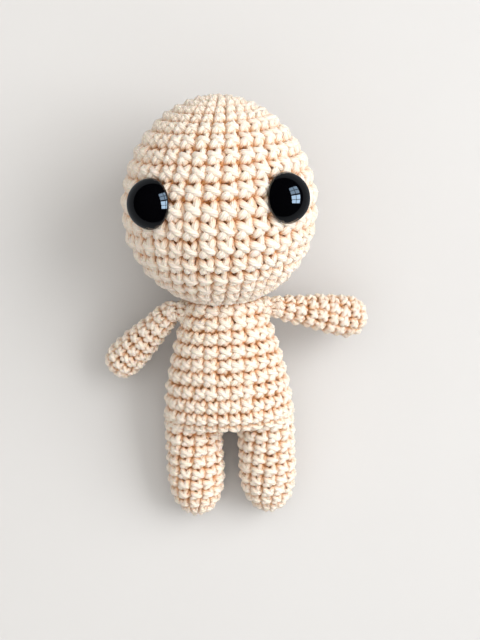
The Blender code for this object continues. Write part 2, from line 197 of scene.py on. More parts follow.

# %% [markdown]
# ## One stitch
#
# Single crochet shows a small cross in each stitch. A height map could hint at it, but the shadows under
# its arms are what makes crochet look like crochet, so here the strand itself is followed. First it shows
# as a small leaf between this stitch and the one before. It dives and comes up at the lower left as a
# short lobe, passes under the cross's other arm, and is seen again as a leaf at the upper right. It goes
# behind, comes up at the upper left and lies over the middle down to the lower right: that is the long
# lobe, which catches the light. It dives again, shows one more short lobe at the bottom, and runs on
# behind to the next stitch.
#
# The way is drawn as points in the stitch's own cell: across, upward in the working direction,
# and outward. Across and upward are shares of the cell, and outward and thickness are in strand widths.
# The parts that nobody sees are fat, so that the fabric is close and no light comes through it.

# %% Draw the strand's way through one stitch
stitch_way = np.array([
    # across, upward, outward, thickness
    (-0.56, 0.34, -0.60, 1.20),
    (-0.53, 0.20, 0.26, 0.92),
    (-0.51, 0.04, 0.28, 0.92),
    (-0.50, -0.20, -0.55, 1.15),
    (-0.43, -0.33, 0.10, 1.05),
    (-0.32, -0.25, 0.56, 1.18),
    (-0.19, -0.17, 0.62, 1.22),
    (-0.08, -0.07, 0.20, 1.05),
    (0.04, 0.07, -0.35, 0.95),
    (0.13, 0.18, 0.30, 1.05),
    (0.21, 0.31, 0.62, 1.15),
    (0.28, 0.43, 0.42, 1.08),
    (0.31, 0.54, -0.40, 0.98),
    (-0.03, 0.48, -0.75, 1.50),
    (-0.40, 0.44, -0.45, 1.00),
    (-0.37, 0.36, 0.20, 1.04),
    (-0.27, 0.27, 0.54, 1.12),
    (-0.10, 0.16, 0.64, 1.16),
    (0.09, 0.05, 0.62, 1.16),
    (0.26, -0.05, 0.50, 1.10),
    (0.40, -0.13, 0.08, 1.00),
    (0.40, -0.29, -0.40, 1.35),
    (0.12, -0.46, -0.50, 1.15),
    (-0.07, -0.41, 0.10, 1.00),
    (0.00, -0.31, 0.52, 1.05),
    (0.09, -0.19, 0.34, 1.02),
    (0.24, 0.05, -0.90, 1.60),
])
print("a stitch is", len(stitch_way), "steps of the strand")

# %% [markdown]
# ## From a way to a strand
#
# A strand is a ring carried along the way. Blender could bevel a curve, but here the rings are needed as
# arrays, so that one stitch can be copied over a whole cover. The ring must not spin as it goes, or the
# twist drawn on it would wind up like a spring. So each ring's upright is the last one's, laid flat again
# across the new direction. What is left of the turn by the end of the stitch is shared out evenly, so
# that one stitch runs into the next. Seven sides are enough at this size, and keep the covers light.

# %% Make the strand of one stitch
strand_sides = 7


def stitch_strand(cell_width, row_height, strand_width):
    """Rings of one stitch in metres: the centre line, and the offsets of each ring's corners from it.

    A ring looks along the step from the point before it to the point after it. Its corners are the
    upright times the cosine of their angle, plus the side times its sine, times half the thickness.
    """
    way = stitch_way * (cell_width, row_height, strand_width, 1.0)
    centre, thickness = way[:, :3], way[:, 3]
    following = np.vstack([centre[1:], centre[:1] + (cell_width, 0, 0)])
    previous = np.vstack([centre[-1:] - (cell_width, 0, 0), centre[:-1]])
    forward = following - previous
    forward /= np.linalg.norm(forward, axis=1, keepdims=True)

    uprights = [unit(np.cross(forward[0], (0, 1, 0)))]
    for direction in np.vstack([forward[1:], forward[:1]]):
        laid = uprights[-1] - np.dot(uprights[-1], direction) * direction
        uprights.append(laid / np.linalg.norm(laid))
    beside = np.cross(forward[0], uprights[0])
    left_over = math.atan2(np.dot(uprights[-1], beside), np.dot(uprights[-1], uprights[0]))
    uprights = np.array(uprights[:-1])
    beside = np.cross(forward, uprights)

    corner = 2 * np.pi * np.arange(strand_sides) / strand_sides
    share = np.arange(len(centre)) / len(centre)
    turn = corner[None, :] - left_over * share[:, None]
    radius = strand_width / 2 * thickness
    offsets = radius[:, None, None] * (np.cos(turn)[..., None] * uprights[:, None]
                                       + np.sin(turn)[..., None] * beside[:, None])
    return centre, offsets


centre, offsets = stitch_strand(3.3 * mm, 3.3 * mm, 1.35 * mm)
print("one stitch has", offsets.shape[0], "rings of", offsets.shape[1], "corners")

# %% [markdown]
# ## From arrays to a mesh
#
# Blender keeps a mesh as lists: the points, the point at each face's corner, and where each face starts.
# Adding faces one by one from Python is slow, so the lists are worked out as whole arrays and handed over
# in one go. Every strand, skin and eye below is rings of points, so one rule makes all their faces.

# %% Turn arrays into mesh objects
def mesh_object(name, points, loops, loop_totals):
    """A smooth mesh object from arrays of points, corner numbers and corners per face."""
    mesh = bpy.data.meshes.new(name)
    mesh.vertices.add(len(points))
    mesh.vertices.foreach_set("co", points.astype(np.float32).ravel())
    mesh.loops.add(len(loops))
    mesh.loops.foreach_set("vertex_index", loops.astype(np.int32))
    mesh.polygons.add(len(loop_totals))
    starts = np.concatenate(([0], np.cumsum(loop_totals)[:-1]))
    mesh.polygons.foreach_set("loop_start", starts.astype(np.int32))
    mesh.update(calc_edges=True)
    mesh.validate()
    mesh.shade_smooth()
    piece = bpy.data.objects.new(name, mesh)
    bpy.context.scene.collection.objects.link(piece)
    return piece


def tube_faces(rings, corners):
    """Corner numbers of the four-sided faces between rings, wound so that they face outward."""
    ring = np.arange(rings - 1)[:, None] * corners
    corner = np.arange(corners)[None, :]
    beyond = (corner + 1) % corners
    return np.stack([ring + corner, ring + beyond, ring + corners + beyond, ring + corners + corner],
                    axis=-1).reshape(-1)


def closed_tube(name, points, rings, corners):
    """A tube of rings with a flat face over each end: the first ring's is wound backward, to face out."""
    first = np.arange(corners)[::-1]
    last = np.arange(corners) + (rings - 1) * corners
    loops = np.concatenate([tube_faces(rings, corners), first, last])
    totals = np.concatenate([np.full((rings - 1) * corners, 4), np.full(2, corners)])
    return mesh_object(name, points.reshape(-1, 3), loops, totals)


print("one stitch of strand has", len(tube_faces(len(centre) + 1, strand_sides)) // 4, "faces")

# %% [markdown]
# ## Resting on the surface
#
# A soft doll settles where it lies: the back of its head, its hips and its heels flatten a little. A
# simulation could find that, but so small a flat needs none. Each point's height is bent by a smooth
# curve that leaves everything high alone, and never goes below zero.

# %% Let points settle
settle_softness = 0.3 * mm


def settle(points):
    """Press points up off the floor: each height becomes the mean of itself and its distance from a
    soft zero, so what is high stays and what would be under the floor lies just on it."""
    points[..., 2] = (points[..., 2] + np.hypot(points[..., 2], settle_softness)) / 2
    return points


low_points = settle(np.array([(0, 0, -2 * mm), (0, 0, 0), (0, 0, 5 * mm)]))
print("-2, 0 and 5 mm settle at", np.round(low_points[:, 2] / mm, 2), "mm")

# %% [markdown]
# ## Lay out the rounds
#
# Before the strand is worked, each stitch gets its place: its row, the middle of its part of the turn,
# and how wide that part is. A real crocheter goes round in a spiral, but seen from the front the rows of
# this doll are level. So the rounds here are level rings, and the strand steps up to the next one at the
# back. Each round starts a little further on than the last, which gives the columns of stitches the
# slant that crochet has.

# %% Give each stitch its place
def lay_out_rounds(counts, lean):
    """Each stitch's row, and its middle and width in turns, for rounds of so many stitches. Counting
    starts at the back, and each round is moved on by lean stitches for every row under it."""
    rows_up, middles, widths = [], [], []
    for row, count in enumerate(counts):
        drift = (lean * row) % 1
        rows_up.append(np.full(count, row + 0.5))
        middles.append(0.5 + (np.arange(count) + 0.5 - count // 2 + drift) / count)
        widths.append(np.full(count, 1.0 / count))
    return np.concatenate(rows_up), np.concatenate(middles), np.concatenate(widths)


rows_up, middles, widths = lay_out_rounds((6, 12), 0.1)
print("two rounds of 6 and 12 make", len(middles), "stitches")

# %% [markdown]
# ## The hand's own unevenness
#
# No two stitches of a hand are alike, and a cover of perfect copies looks printed. Every stitch gets its
# own small shift, tilt and fullness. They grow from nothing at the stitch's ends to their most in its
# middle, so that each stitch still meets the next. The draws come from a numbered seed, so that the doll
# is the same each time it is made.

# %% Vary the stitches
shift_across, shift_upward, shift_outward = 0.05, 0.055, 0.05
stitch_tilt = math.radians(8)
stitch_fullness = 0.08


def vary_stitches(centre, offsets, stitches, cell_width, row_height, strand_width, looseness, seed):
    """Corners of every stitch in its own cell, as an array of stitch, ring, corner and direction. Ease is
    the squared sine of the way through the stitch, and all that varies is multiplied by it."""
    random = np.random.default_rng(seed)
    ease = np.sin(np.pi * (np.arange(len(centre)) + 0.5) / len(centre))[None, :, None] ** 2
    shift = random.normal(0, 1, (stitches, 1, 3)) * (shift_across, shift_upward, 0.0) * looseness
    shift = shift * (cell_width, row_height, 0)
    shift[..., 2] = random.normal(0, shift_outward, (stitches, 1)) * strand_width * looseness
    tilt = random.normal(0, stitch_tilt, stitches) * looseness
    cosine, sine = np.cos(tilt)[:, None], np.sin(tilt)[:, None]
    across, upward, outward = centre.T
    turned = np.stack([across * cosine - upward * sine,
                       across * sine + upward * cosine,
                       np.repeat(outward[None], stitches, 0)], axis=-1)
    path = centre[None] + ease * (turned - centre[None] + shift)
    fullness = 1 + random.normal(0, stitch_fullness, (stitches, 1, 1, 1)) * looseness * ease[..., None]
    return path[:, :, None, :] + offsets[None] * fullness


three_stitches = vary_stitches(centre, offsets, 3, 3.3 * mm, 3.3 * mm, 1.35 * mm, 1.0, seed=0)
print("three stitches are an array of", three_stitches.shape)

# %% [markdown]
# ## What the yarn's finish needs to know
#
# The finish draws a twist along the strand, and paints shade down between the stitches: the colour
# turns darker and more orange there. Neither can be worked out from the mesh alone, so both are stored on
# it: a map that runs along the strand in millimetres and once round it, and a number at each point that
# says how deep it lies in the fabric, which sets how much painted shade it gets.

# %% Store the strand's map and its depth
map_name = "strand"
depth_name = "depth_in_fabric"


def map_strand(piece, walked):
    """A map of the strand. Along it is walked, each ring's distance in millimetres, and across it is the
    share of the way round. The faces over the strand's ends stay at zero."""
    along = np.stack([walked[:-1], walked[:-1], walked[1:], walked[1:]], -1)
    along = along[:, None, :].repeat(strand_sides, 1)
    around = np.arange(strand_sides) / strand_sides
    beyond = around + 1 / strand_sides
    around = np.broadcast_to(np.stack([around, beyond, beyond, around], -1), along.shape)
    uv = np.zeros((len(piece.data.loops), 2), np.float32)
    uv[:along.size, 0] = along.ravel()
    uv[:along.size, 1] = around.ravel()
    piece.data.uv_layers.new(name=map_name).data.foreach_set("uv", uv.ravel())


def store_depth(piece, depth):
    """A number at each point, from 0 on top of the fabric to 1 deep down in it, which sets the painted
    shade.
    """
    attribute = piece.data.attributes.new(depth_name, "FLOAT", "POINT")
    attribute.data.foreach_set("value", depth.astype(np.float32).ravel())


print("each strand will carry", map_name, "and", depth_name)

# %% [markdown]
# ## Work a cover
#
# A cover is hundreds of these stitches on the round form. The strand's corners are moved from their cell
# onto it: across becomes the way round, upward becomes rows, and outward goes along the form's normal.
# Between two rows the strand is drawn in a little more, which gives each row its own soft ridge. The form
# is the cover's outside, so the strand's middle is sunk under it by about its own width.

# %% Work a cover stitch by stitch
# How deep in the fabric, in strand widths, the painted shade reaches its full colour.
fabric_depth_in_strands = 1.7


def work_cover(name, form, counts, lean, strand_width, sunk, seed, looseness=1.0, valley=0.5 * mm,
               first=0.0, last=2.0):
    """One strand of crochet over a form, round by round: counts is how many stitches each row has.

    A corner's turn is its stitch's middle plus its share across times the stitch's width. Its row is the
    stitch's row plus its share upward. It lies outward minus sunk, minus valley times the squared sine
    of its share upward. Only stitches whose middle is between first and last, in turns, are worked.
    """
    rows_up, middles, widths = lay_out_rounds(counts, lean)
    kept = (middles >= first) & (middles <= last)
    rows_up, middles, widths = rows_up[kept], middles[kept], widths[kept]
    stitches = len(middles)
    cell_width = np.pi * np.max(form.width + form.depth) / np.max(counts)
    row_height = form.mean_row_height
    centre, offsets = stitch_strand(cell_width, row_height, strand_width)
    corners = vary_stitches(centre, offsets, stitches, cell_width, row_height, strand_width, looseness,
                            seed)

    across = corners[..., 0] / cell_width
    upward = corners[..., 1] / row_height
    outward = corners[..., 2] - sunk - valley * np.sin(np.pi * upward) ** 2
    way_round = 2 * np.pi * (middles[:, None, None] + across * widths[:, None, None])
    rows = np.clip(rows_up[:, None, None] + upward, 0.03, form.rows - 0.03)
    points = form.point(way_round, rows) + outward[..., None] * form.outward(way_round, rows)
    piece = closed_tube(name, settle(points), stitches * len(centre), strand_sides)

    # The depth, with the row valleys in it, sets the painted shade between the stitches and the rows.
    store_depth(piece, np.clip((outward.max() - outward) / (fabric_depth_in_strands * strand_width), 0, 1))
    step = np.linalg.norm(np.diff(centre, axis=0), axis=1)
    walked = np.concatenate(([0.0], np.cumsum(step)))
    stitch_length = walked[-1] + step[0]
    walked = (walked[None, :] + stitch_length * np.arange(stitches)[:, None]) / mm
    map_strand(piece, walked.reshape(-1))
    print(name, stitches, "stitches,", len(piece.data.polygons) * 2, "triangles")
    return piece

# %% [markdown]
# ## Nodes that come up often
#
# A finish is a chain of small nodes. Four links of it come up again and again here: the start of a
# material, a sum, soft noise, and one colour turning into another. The noise reads the piece's own place,
# so it stays where it is when the doll moves.

# %% Helpers for finishes
def start_material(name):
    """A new material, its node tree, and its Principled shader."""
    material = bpy.data.materials.new(name)
    material.use_nodes = True
    return material, material.node_tree, material.node_tree.nodes["Principled BSDF"]


def math_node(tree, operation, value, factor=None, added=None):
    """One operation on a value: with a fixed factor, and with another value added, where given."""
    node = tree.nodes.new("ShaderNodeMath")
    node.operation = operation
    tree.links.new(value, node.inputs[0])
    if factor is not None:
        node.inputs[1].default_value = factor
    if added is not None:
        tree.links.new(added, node.inputs[2])
    return node.outputs[0]


def noise_node(tree, scale, detail):
    """Soft noise from 0 to 1 over the piece's own place."""
    place = tree.nodes.new("ShaderNodeTexCoord")
    noise = tree.nodes.new("ShaderNodeTexNoise")
    noise.inputs["Scale"].default_value = scale
    noise.inputs["Detail"].default_value = detail
    tree.links.new(place.outputs["Object"], noise.inputs["Vector"])
    return noise


def mixed_colour(tree, share, start, end):
    """One colour that turns into another as share goes from 0 to 1."""
    mix = tree.nodes.new("ShaderNodeMix")
    mix.data_type = "RGBA"
    mix.inputs["A"].default_value = (*start, 1)
    mix.inputs["B"].default_value = (*end, 1)
    tree.links.new(share, mix.inputs["Factor"])
    return mix.outputs["Result"]


print("four helpers for finishes are ready")

# %% [markdown]
# ## Twisted yarn
#
# The yarn is a smooth cotton, twisted from fine threads. Each thread is too thin to be worth a strand of
# its own, so the twist is relief: a wave that runs along the strand as it runs round it, roughened by the
# fibres. Light that falls between the stitches is passed from strand to strand and comes back a deep
# orange, and that shade is painted: the colour turns to a painted orange shade with the depth in the
# fabric. As a node group it serves any yarn, with its own colours.

# %% Make the yarn's twist as a node group
twist_length_mm = 1.6
threads_round = 9


def yarn_group():
    """Colour and normal of twisted yarn. The wave is the sine of the way round times the threads, plus
    the way along over the twist's length. The colour mixes in painted shade with the depth in the fabric,
    and a little more where the wave dips."""
    group = bpy.data.node_groups.new("plied_yarn", "ShaderNodeTree")
    for name, kind, default in (("Light colour", "NodeSocketColor", (0.9, 0.76, 0.62, 1)),
                                ("Painted shade colour", "NodeSocketColor", (0.35, 0.14, 0.05, 1)),
                                ("Ply relief", "NodeSocketFloat", 0.5)):
        socket = group.interface.new_socket(name=name, in_out="INPUT", socket_type=kind)
        socket.default_value = default
    group.interface.new_socket(name="Colour", in_out="OUTPUT", socket_type="NodeSocketColor")
    group.interface.new_socket(name="Normal", in_out="OUTPUT", socket_type="NodeSocketVector")
    nodes, links = group.nodes, group.links
    into = nodes.new("NodeGroupInput")
    out = nodes.new("NodeGroupOutput")

    strand = nodes.new("ShaderNodeUVMap")
    strand.uv_map = map_name
    split = nodes.new("ShaderNodeSeparateXYZ")
    links.new(strand.outputs["UV"], split.inputs[0])
    along = math_node(group, "MULTIPLY", split.outputs["X"], 2 * math.pi / twist_length_mm)
    around = math_node(group, "MULTIPLY_ADD", split.outputs["Y"], 2 * math.pi * threads_round, along)
    wave = math_node(group, "SINE", around)

    fibres = noise_node(group, 2600, 2)
    bump = nodes.new("ShaderNodeBump")
    bump.inputs["Distance"].default_value = 0.12 * mm
    links.new(into.outputs["Ply relief"], bump.inputs["Strength"])
    links.new(math_node(group, "MULTIPLY_ADD", fibres.outputs["Fac"], 0.9, wave), bump.inputs["Height"])
    links.new(bump.outputs[0], out.inputs["Normal"])

    # Painted shade: the colour turns from the light colour to the shade colour as the depth in the fabric
    # grows.
    depth = nodes.new("ShaderNodeAttribute")
    depth.attribute_name = depth_name
    ramp = nodes.new("ShaderNodeMapRange")
    ramp.interpolation_type = "SMOOTHSTEP"
    ramp.inputs["From Min"].default_value = 0.2
    ramp.inputs["From Max"].default_value = 0.85
    links.new(math_node(group, "MULTIPLY_ADD", wave, -0.07, depth.outputs["Fac"]), ramp.inputs["Value"])
    mix = nodes.new("ShaderNodeMix")
    mix.data_type = "RGBA"
    links.new(ramp.outputs["Result"], mix.inputs["Factor"])
    links.new(into.outputs["Light colour"], mix.inputs["A"])
    links.new(into.outputs["Painted shade colour"], mix.inputs["B"])
    links.new(mix.outputs["Result"], out.inputs["Colour"])
    return group


plied_yarn = yarn_group()
print("the yarn's node group has", len(plied_yarn.nodes), "nodes")

# %% [markdown]
# ## The cream yarn
#
# The colour of the threads and the light inside them make a soft, warm, matt yarn. The shader's own
# subsurface scattering lets a little light through each strand, and a trace of sheen stands for the
# fibres that stick out of it. Both are plain numbers on the shader, so that they are kept when the doll
# is exported.

# %% Make the cream yarn
def yarn_material(name, light, painted_shade_colour, relief):
    """A yarn from its own colour, its painted shade between the stitches, and how strongly its twist
    shows.
    """
    material, tree, shader = start_material(name)
    shader.inputs["Roughness"].default_value = 0.6
    shader.inputs["Sheen Weight"].default_value = 0.25
    shader.inputs["Subsurface Weight"].default_value = 0.1
    shader.inputs["Subsurface Radius"].default_value = (1.0, 0.45, 0.2)
    shader.inputs["Subsurface Scale"].default_value = 0.8 * mm
    shader.inputs["Specular IOR Level"].default_value = 0.15
    yarn = tree.nodes.new("ShaderNodeGroup")
    yarn.node_tree = plied_yarn
    yarn.inputs["Light colour"].default_value = (*light, 1)
    yarn.inputs["Painted shade colour"].default_value = (*painted_shade_colour, 1)
    yarn.inputs["Ply relief"].default_value = relief
    tree.links.new(yarn.outputs["Colour"], shader.inputs["Base Color"])
    tree.links.new(yarn.outputs["Normal"], shader.inputs["Normal"])
    return material


# The first colour is the yarn's own cream; the second is painted shade, the orange-brown between stitches.
cream_yarn = yarn_material("cream_yarn", (0.875, 0.77, 0.66), (0.68, 0.34, 0.13), 0.45)
print("the cream yarn is made")

# %% [markdown]
# ## Fibres without a strand
#
# Two things behind the stitches are fibre but no strand: the dim backs of the stitches, seen through the
# gaps, and the white stuffing. Both are a tangle of fine fibres, with painted shade between them: light
# where one lies on top and darker between. Distorted noise gives such a tangle cheaply, and it is only
# ever seen through gaps.

# %% Make a tangle of fibres
def fibre_group():
    """A tangle of fine fibres: a mask, light on the fibres and painted shade between them, and its height.
    """
    group = bpy.data.node_groups.new("fine_fibres", "ShaderNodeTree")
    scale_socket = group.interface.new_socket(name="Scale", in_out="INPUT", socket_type="NodeSocketFloat")
    scale_socket.default_value = 900
    group.interface.new_socket(name="Mask", in_out="OUTPUT", socket_type="NodeSocketFloat")
    group.interface.new_socket(name="Height", in_out="OUTPUT", socket_type="NodeSocketFloat")
    nodes, links = group.nodes, group.links
    into = nodes.new("NodeGroupInput")
    out = nodes.new("NodeGroupOutput")
    tangle = noise_node(group, scale_socket.default_value, 4)
    tangle.inputs["Distortion"].default_value = 1.6
    links.new(into.outputs["Scale"], tangle.inputs["Scale"])
    strands = nodes.new("ShaderNodeMapRange")
    strands.interpolation_type = "SMOOTHSTEP"
    strands.inputs["From Min"].default_value = 0.35
    strands.inputs["From Max"].default_value = 0.65
    links.new(tangle.outputs["Fac"], strands.inputs["Value"])
    links.new(strands.outputs["Result"], out.inputs["Mask"])
    links.new(tangle.outputs["Fac"], out.inputs["Height"])
    return group


fine_fibres = fibre_group()
print("the fibres' node group has", len(fine_fibres.nodes), "nodes")

# %% [markdown]
# ## The backs of the stitches, and the stuffing
#
# One recipe serves both: the tangle's mask picks the colour, and its height gives the relief. The backs
# of the stitches are the cream yarn painted in deep orange shade, and the stuffing is a clean white.

# %% Make the yarn in painted shade and the stuffing
def fibre_material(name, light, painted_shade_between_fibres, scale, relief):
    """Fibres of one colour over a darker one, the painted shade between them, with their own relief in
    metres.
    """
    material, tree, shader = start_material(name)
    shader.inputs["Roughness"].default_value = 0.85
    shader.inputs["Sheen Weight"].default_value = 0.3
    shader.inputs["Specular IOR Level"].default_value = 0.2
    fibres = tree.nodes.new("ShaderNodeGroup")
    fibres.node_tree = fine_fibres
    fibres.inputs["Scale"].default_value = scale
    tree.links.new(mixed_colour(tree, fibres.outputs["Mask"], painted_shade_between_fibres, light), shader.inputs["Base Color"])
    bump = tree.nodes.new("ShaderNodeBump")
    bump.inputs["Strength"].default_value = 0.7
    bump.inputs["Distance"].default_value = relief
    tree.links.new(fibres.outputs["Height"], bump.inputs["Height"])
    tree.links.new(bump.outputs[0], shader.inputs["Normal"])
    return material


# Both colours of the stitches' backs are painted shade: the cream yarn darkened to orange-brown.
painted_shade_yarn = fibre_material("painted_shade_yarn", (0.60, 0.27, 0.09), (0.36, 0.14, 0.04), 900, 0.3 * mm)
white_stuffing = fibre_material("white_stuffing", (0.93, 0.92, 0.90), (0.72, 0.70, 0.67), 1400, 0.25 * mm)
print("the shaded yarn and the stuffing are made")

# %% [markdown]
# ## Linings and wads
#
# Behind the stitches a real cover shows the dim backs of more stitches, and then the stuffing. Working a
# second layer of strands for them would double the doll for a few dark specks. A closed skin that follows
# the same round form, a little further in, gives the same specks. Each finished piece is then dressed: it
# gets its finish, and the solids that it stands for are hidden.

# %% Make closed skins, and dress pieces
skin_steps, skin_rings = 48, 40


def form_skin(name, form, inset, first_row, last_row, steps=skin_steps, rings=skin_rings):
    """A closed surface on the form, moved in by inset: a grid of way round by rows, with shut ends."""
    rows, ways = np.meshgrid(np.linspace(first_row, last_row, rings),
                             np.linspace(0, 2 * np.pi, steps, endpoint=False), indexing="ij")
    points = form.point(ways, rows) - inset * form.outward(ways, rows)
    return closed_tube(name, settle(points), rings, steps)


def dress(piece, material, slot, *nodes):
    """Give a piece its finish and hide the solids that it stands for; slot is not used."""
    piece.data.materials.clear()
    piece.data.materials.append(material)
    if nodes:
        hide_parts(*nodes)
    return piece


print("a skin has", skin_steps * skin_rings, "points")

# %% [markdown]
# ## The head's form
#
# The head is an egg, a little fuller toward the neck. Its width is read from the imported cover, so that
# the crochet and the solid agree. The rows are not all of one height: where the head is widest a row is
# nearly twice as high as near the crown, as in the photograph.

# %% Shape the head
head_low, head_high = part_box("head_cover")
head_width = head_high.x - head_low.x
head_length = 51.0 * mm
head_fullness_share = 0.05
head_centre_above_neck = 23.6 * mm
neck_opening_angle = math.radians(160.5)

angle = np.linspace(neck_opening_angle, 0, 400)
head_radius = head_width / 2 * np.sin(angle) * (1 - head_fullness_share * np.cos(angle))
head_height = head_length / 2 * np.cos(angle)
head_row_heights = (2.5, 4.6, 4.15, 4.0, 4.45, 4.8, 4.8, 5.1, 4.1, 4.3, 4.1, 4.2, 3.7, 3.0, 3.1, 2.8,
                    2.7, 2.75)
head_counts = (18, 24, 29, 32, 34, 35, 35, 34, 34, 34, 33, 31, 29, 27, 24, 19, 13, 6)
head_form = RoundForm(neck_place + head_centre_above_neck * crownward, crownward, -faceward,
                      (head_radius, head_radius, head_height), head_row_heights)
print("the head is", round(head_width / mm, 1), "mm wide, in", head_form.rows, "rows")

# %% [markdown]
# ## Work and fill the head
#
# When the doll nods, the fabric near the neck stays with the neck and the rest goes with the head. A
# hard cut between the two would tear open; here the cover and its lining stay where they are made, and
# only the wad is attached to the head.

head_yarn = work_cover("head_yarn", head_form, head_counts, 0.15, 1.6 * mm, 1.65 * mm, seed=1,
                       valley=0.4 * mm)
dress(head_yarn, cream_yarn, "cream_yarn", "head_cover")
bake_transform(head_yarn)

# The lining stands for the backs of the stitches, in the yarn's painted shade.
head_lining = form_skin("head_lining", head_form, 2.15 * mm, 0, 17.9)
dress(head_lining, painted_shade_yarn, "cream_yarn")
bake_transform(head_lining)

head_wad = form_skin("head_wad", head_form, 3.5 * mm, 0, 17.9)
dress(head_wad, white_stuffing, "white_stuffing", "head_stuffing")
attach(head_wad, "head")

# %% [markdown]
# ## The torso's form
#
# The torso is a pear, wide and a little flat at the hips and round at the neck. It narrows slowly over
# the belly and faster toward the neck, which a power of the height gives. Its lowest row curls under, so
# that the legs come out from below it.

# %% Shape the torso
hips_half_width, hips_half_depth = 16.2 * mm, 11.8 * mm
neck_half_width, neck_half_depth = 10.2 * mm, 8.9 * mm
rim_half_depth = 8.0 * mm
hips_above_crotch = 4.0 * mm
torso_rim = 30.0 * mm
torso_start = -0.2 * mm
torso_edge = 33.2 * mm
torso_taper = 1.45

height = np.linspace(torso_start, torso_edge, 200)
share = np.clip((height - hips_above_crotch) / (torso_rim - hips_above_crotch), 0, 1.1) ** torso_taper
rise = np.clip(height / hips_above_crotch, 0, 1)
torso_width = hips_half_width + (neck_half_width - hips_half_width) * share
torso_depth = hips_half_depth + (neck_half_depth - hips_half_depth) * share
torso_depth -= (hips_half_depth - rim_half_depth) * (1 - np.sqrt(1 - (1 - rise) ** 2))
torso_row_heights = (1.8, *(9 * [3.39]), 1.1)
torso_counts = (28, 30, 29, 26, 24, 22, 21, 19, 18, 16, 15)
torso_form = RoundForm(crotch_place, crownward, -faceward, (torso_width, torso_depth, height),
                       torso_row_heights)
print("the torso has", torso_form.rows, "rows of about", round(torso_form.mean_row_height / mm, 1), "mm")

# %% [markdown]
# ## Work and fill the torso
#
# The torso is worked like the head.

torso_yarn = work_cover("torso_yarn", torso_form, torso_counts, 0.07, 1.25 * mm, 1.22 * mm, seed=2)
dress(torso_yarn, cream_yarn, "cream_yarn", "torso_cover")
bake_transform(torso_yarn)

# The lining stands for the backs of the stitches, in the yarn's painted shade.
torso_lining = form_skin("torso_lining", torso_form, 2.4 * mm, 0.8, 11)
dress(torso_lining, painted_shade_yarn, "cream_yarn")
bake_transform(torso_lining)

torso_wad = form_skin("torso_wad", torso_form, 2.8 * mm, 1.2, 10)
dress(torso_wad, white_stuffing, "white_stuffing", "torso_stuffing")
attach(torso_wad, "torso")

# %% [markdown]
# ## The fabric between the legs
#
# Where the legs part, the fabric of the belly turns under and runs up the back. A short piece of a
# second round form, lying across the body, makes that turn: only the half of its rounds that looks down
# between the legs is worked.

# %% Close the fabric between the legs
crotch_length = 6.6 * mm
crotch_half_depth = 9.4 * mm
crotch_half_height = 3.0 * mm

strip = np.linspace(0, crotch_length, 20)
crotch_form = RoundForm(crotch_place + 2.4 * mm * crownward - crotch_length / 2 * leftward, leftward,
                        crownward,
                        (np.full(20, crotch_half_depth), np.full(20, crotch_half_height), strip), (1, 1))
crotch_yarn = work_cover("between_legs_yarn", crotch_form, (13, 13), 0.0, 1.25 * mm, 1.1 * mm, seed=20,
                         first=0.22, last=0.78)
dress(crotch_yarn, cream_yarn, "cream_yarn")
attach(crotch_yarn, "torso")

# %% [markdown]
# ## The legs' form
#
# A leg is a tube with a long round toe: a quarter of an oval, and then a straight wall that goes on into
# the torso, where its open end stays hidden. Six stitches close the toe, and every row above has twelve.

# %% Shape the legs
leg_radius = 7.1 * mm
toe_length = 11.0 * mm
leg_length = 24.3 * mm
leg_top = 3.0 * mm
leg_off_middle = 9.1 * mm

angle = np.linspace(0, np.pi / 2, 100)
leg_shape = np.concatenate([leg_radius * np.sin(angle), np.full(60, leg_radius)])
leg_height = np.concatenate([toe_length * (1 - np.cos(angle)),
                             np.linspace(toe_length, leg_length + leg_top, 61)[1:]])
leg_row_heights = (*(10 * [2.93]), 1.4)
leg_counts = (6, *(10 * [12]))
print("a leg has", sum(leg_counts), "stitches")

# %% [markdown]
# ## Work and fill the legs
#
# The two legs are alike, so they are made in one loop, each with its own seed. A real leg is one fabric
# with the torso and creases at the hip. Each leg's cover and lining stay where they are made, and only its
# wad is attached to the leg.

# %% Work and fill the legs
for side, sign in sides:
    toe = crotch_place + sign * leg_off_middle * leftward - leg_length * crownward
    leg_form = RoundForm(toe, crownward, -faceward, (leg_shape, leg_shape, leg_height), leg_row_heights)

    leg_yarn = work_cover(side + "_leg_yarn", leg_form, leg_counts, 0.14, 1.3 * mm, 1.05 * mm,
                          seed=3 + sign)
    dress(leg_yarn, cream_yarn, "cream_yarn", side + "_leg_cover")
    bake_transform(leg_yarn)

    # The lining stands for the backs of the stitches, in the yarn's painted shade.
    leg_lining = form_skin(side + "_leg_lining", leg_form, 2.3 * mm, 0.1, 11)
    dress(leg_lining, painted_shade_yarn, "cream_yarn")
    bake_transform(leg_lining)

    leg_wad = form_skin(side + "_leg_wad", leg_form, 2.7 * mm, 0.2, 7.8)
    dress(leg_wad, white_stuffing, "white_stuffing", side + "_leg_stuffing")
    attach(leg_wad, side + "_leg")

# %% [markdown]
# ## The arms' form
#
# An arm is a thin tube with a round hand: a half ball, then a wall that narrows along a squared sine to
# the shoulder, where the last row is drawn in. The two arms are posed unlike each other in the
# photograph, one nearly level and one hanging, and one hand is a little fuller.

# %% Shape the arms
arm_length = 24.0 * mm
shoulder_radius = 3.05 * mm
arm_past_shoulder = 1.6 * mm
drawn_stretch, drawn_in = 4 * mm, 0.9 * mm
arm_back = math.radians(18)
arm_sizes = (("left", 1, 5.0 * mm, math.radians(14.6)), ("right", -1, 4.6 * mm, math.radians(46)))
arm_counts = (6, 10, 11, 11, 10, 9, 9, 8, 8, 7)


def arm_direction(sign, drop):
    """From the shoulder to the hand: outward and down by drop, then back toward the floor."""
    level = math.cos(drop) * sign * leftward - math.sin(drop) * crownward
    return math.cos(arm_back) * level - math.sin(arm_back) * faceward


